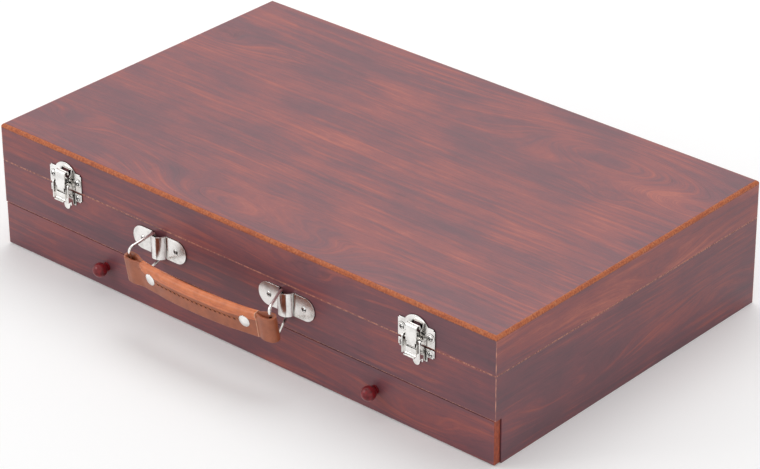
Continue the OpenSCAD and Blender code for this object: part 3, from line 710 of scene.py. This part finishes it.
def add_cover(strap, tan, cut):
    """Outer layer: the left loop and the front, with its top edge rolled over."""
    # A lighter copy of the tan leather for the upper faces of the roll: painted highlight.
    painted_highlight = leather_material("painted_highlight_leather", (0.74, 0.22, 0.085), (0.6, 0.165, 0.065))
    end = strap.span - STRAP_CUT
    places = [LOOP_STEP * k for k in range(round(LOOP_ZONE / LOOP_STEP))]
    places += [LOOP_ZONE + (end - 0.5 - LOOP_ZONE) * k / LONG_STEPS for k in range(LONG_STEPS + 1)]
    places.append(end)
    places.reverse()
    loops = strap_path(strap, places, cover_section)
    last = len(loops) - 2

    def kind(i, j):
        if i in (0, last) or j in CUT_FACES:
            return CUT_EDGE
        at = min(i, last - i)
        beyond = at < len(places) and places[at] > PAINTED_HIGHLIGHT_FROM
        # Upper faces of the roll beyond the loop take the painted highlight.
        return PAINTED_HIGHLIGHT if beyond and j >= UPPER_FACE else LEATHER

    cover = sweep("strap_cover_leather", loops, (tan, cut, painted_highlight), kind)
    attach(cover, "strap")
    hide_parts("strap_cover")


def add_tail(strap, tan, cut):
    """Inner layer's right loop, which shows beyond the cover's cut end."""
    places = [TAIL_LEN - TAIL_STEP * k for k in range(round(TAIL_LEN / TAIL_STEP) + 1)]
    loops = strap_path(strap, places, tail_section, flip=True)
    tail = sweep("strap_liner_leather", loops, (tan, cut), lambda i, j: LEATHER)
    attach(tail, "strap")
    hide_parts("strap_liner")


def add_pill(mesh, a, b, radius, kind):
    """Long round bead from a to b."""
    way = b - a
    turn = way.to_track_quat("Z", "Y").to_matrix().to_4x4()
    grow = Matrix.Diagonal((radius, radius, way.length / 2 + radius, 1))
    made = bmesh.ops.create_uvsphere(mesh, u_segments=8, v_segments=6, radius=1.0,
                                     matrix=Matrix.Translation((a + b) / 2) @ turn @ grow)
    for face in {f for v in made["verts"] for f in v.link_faces}:
        face.material_index = kind
        face.smooth = True


def add_stitches(strap):
    """Slanted stitches in the hollow at mid height, with a pulled-in slot between each two,
    coloured near black as painted shade.
    """
    # Near-black colour of the slots between stitches: painted shade.
    hole = Nodes("needle_hole_painted_shade").finish(Base_Color=(0.05, 0.012, 0.006), Roughness=0.9)
    mesh = bmesh.new()
    first = RIVET_IN + STITCH_END
    last = strap.span - first
    count = int((last - first) / STITCH_PITCH)
    surface = NECK_HALF + PAD - GROOVE
    for k in range(count + 1):
        u = first + (last - first) * k / count
        out = strap.mid(u) + surface + 0.08 * smooth(0, 10, min(u - first, last - u))
        tilt = strap.slope(u)
        ends = [strap.at(u + a, out + a * tilt, STITCH_V - a * STITCH_SLANT)
                for a in (-STITCH_HALF, STITCH_HALF)]
        add_pill(mesh, *ends, STITCH_R * MM, THREAD)
        if k < count:
            ends = [strap.at(u + a, out - HOLE_IN + a * tilt, STITCH_V - a * HOLE_SLANT)
                    for a in HOLE_ENDS]
            add_pill(mesh, *ends, STITCH_R * MM, HOLE)
    data = bpy.data.meshes.new("strap_stitches")
    mesh.to_mesh(data)
    mesh.free()
    data.materials.append(thread_material())
    data.materials.append(hole)
    stitches = link("strap_stitches", data)
    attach(stitches, "strap")


def add_strap():
    strap = Strap()
    tan = leather_material("tan_leather", (0.4, 0.115, 0.05), (0.32, 0.088, 0.039))
    cut = leather_material("leather_cut_edge", (0.8, 0.44, 0.3), (0.64, 0.33, 0.21))
    add_cover(strap, tan, cut)
    add_tail(strap, tan, cut)
    add_stitches(strap)


# Nodes whose screws are replaced by ones with a cross recess
SCREW_NODES = ("case_screws", "strike_screws", "hinge_screws_case", "hinge_screws_lid",
               "knob_screws")
# Sizes in millimetres
SCREW_APART = 4
RECESS_LONG, RECESS_DEEP, RECESS_WIDE = 3.0, 1.3, 0.7
LATCH_HALF = 16
LATCH_PLATE_T = 0.8
RIDGE_OUT = 0.35
RIDGE_R = 0.3
RIDGE_STEPS = 32
RIDGE_SIDES = 8


def screw_boxes(source):
    """Low corner, high corner and facing of each screw in a node, found by its place."""
    verts = sorted((v.co.copy() for v in source.data.vertices), key=lambda p: (p.x, p.z))
    groups = []
    for p in verts:
        for group in groups:
            if (Vector((p.x, 0, p.z)) - group[0]).length < SCREW_APART * MM:
                group[1].append(p)
                break
        else:
            groups.append((Vector((p.x, 0, p.z)), [p]))
    boxes = []
    for _, points in groups:
        low = Vector([min(p[i] for p in points) for i in range(3)])
        high = Vector([max(p[i] for p in points) for i in range(3)])
        widest = max(points, key=lambda p: abs(p.x - (low.x + high.x) / 2))
        boxes.append((low, high, 1 if widest.y > (low.y + high.y) / 2 else -1))
    return boxes


def cross_cutter(boxes, rng):
    """Two crossed bars at the head of each screw, each pair turned its own way."""
    mesh = bmesh.new()
    for low, high, facing in boxes:
        middle = (low + high) / 2
        face_y = high.y if facing > 0 else low.y
        turn = Matrix.Rotation(rng.uniform(0, math.pi / 2), 4, "Y")
        for wide, tall in ((RECESS_LONG, RECESS_WIDE), (RECESS_WIDE, RECESS_LONG)):
            grow = Matrix.Diagonal((wide * MM, RECESS_DEEP * MM, tall * MM, 1))
            place = Matrix.Translation((middle.x, face_y, middle.z))
            bmesh.ops.create_cube(mesh, size=1.0, matrix=place @ turn @ grow)
    data = bpy.data.meshes.new("cutter")
    mesh.to_mesh(data)
    mesh.free()
    return link("cutter", data)


def cut_away(obj, cutter):
    cut = obj.modifiers.new("cut", "BOOLEAN")
    cut.object = cutter
    cut.solver = "EXACT"
    cut.use_self = True
    cut.material_mode = "TRANSFER"
    graph = bpy.context.evaluated_depsgraph_get()
    made = bpy.data.meshes.new_from_object(obj.evaluated_get(graph))
    obj.modifiers.clear()
    obj.data = made
    bpy.data.objects.remove(cutter)


def add_ridge(mesh, middle, radius):
    """Raised ring round a screw, facing along y."""
    turn = Matrix.Translation(middle) @ Matrix.Rotation(math.pi / 2, 4, "X")
    rings = []
    for i in range(RIDGE_STEPS):
        a = 2 * math.pi * i / RIDGE_STEPS
        spoke = Vector((math.cos(a), math.sin(a), 0))
        ring = []
        for k in range(RIDGE_SIDES):
            b = 2 * math.pi * k / RIDGE_SIDES
            place = spoke * (radius + RIDGE_R * MM * math.cos(b))
            place.z = RIDGE_R * MM * math.sin(b)
            ring.append(mesh.verts.new(turn @ place))
        rings.append(ring)
    for one, two in zip(rings, rings[1:] + rings[:1]):
        for k in range(RIDGE_SIDES):
            m = (k + 1) % RIDGE_SIDES
            mesh.faces.new((one[k], two[k], two[m], one[m])).smooth = True


def add_ridges(name, boxes, body):
    """Raised rings pressed round those screws of a node that hold a latch, if it has any."""
    latch_x = [sum(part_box(n)[k].x for k in (0, 1)) / 2 for n in ("strike_left", "strike_right")]
    mesh = bmesh.new()
    for low, high, _ in boxes:
        middle = (low + high) / 2
        if middle.y < 0 and min(abs(middle.x - x) for x in latch_x) <= LATCH_HALF * MM:
            place = (middle.x, FACE_Y - LATCH_PLATE_T * MM, middle.z)
            add_ridge(mesh, place, (high.x - low.x) / 2 + RIDGE_OUT * MM)
    if mesh.faces:
        bmesh.ops.recalc_face_normals(mesh, faces=mesh.faces)
        data = bpy.data.meshes.new(name + "_rings")
        mesh.to_mesh(data)
        data.materials.append(NICKEL)
        rings = link(name + "_rings", data)
        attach(rings, body)
    mesh.free()


def add_screws():
    rng = random.Random(7)
    # Near-black colour that the cutter hands to the faces of the cross recesses: painted shade.
    painted_shade = Nodes("recess_painted_shade").finish(Base_Color=(0.03, 0.028, 0.026), Roughness=0.7)
    for name in SCREW_NODES:
        source = frame["nodes"][name]
        boxes = screw_boxes(source)
        cutter = cross_cutter(boxes, rng)
        cutter.data.materials.append(painted_shade)
        screws = link(name + "_cross", source.data.copy())
        screws.data.materials.clear()
        screws.data.materials.append(NICKEL)
        screws.data.materials.append(painted_shade)
        cut_away(screws, cutter)
        add_ridges(name, boxes, source["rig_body"])
        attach(screws, source["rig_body"])
        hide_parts(name)


bpy.context.scene.view_settings.view_transform = "Standard"
add_camera()
set_world()
add_floor()
add_lamps()
dress_cad()
add_strap()
add_screws()
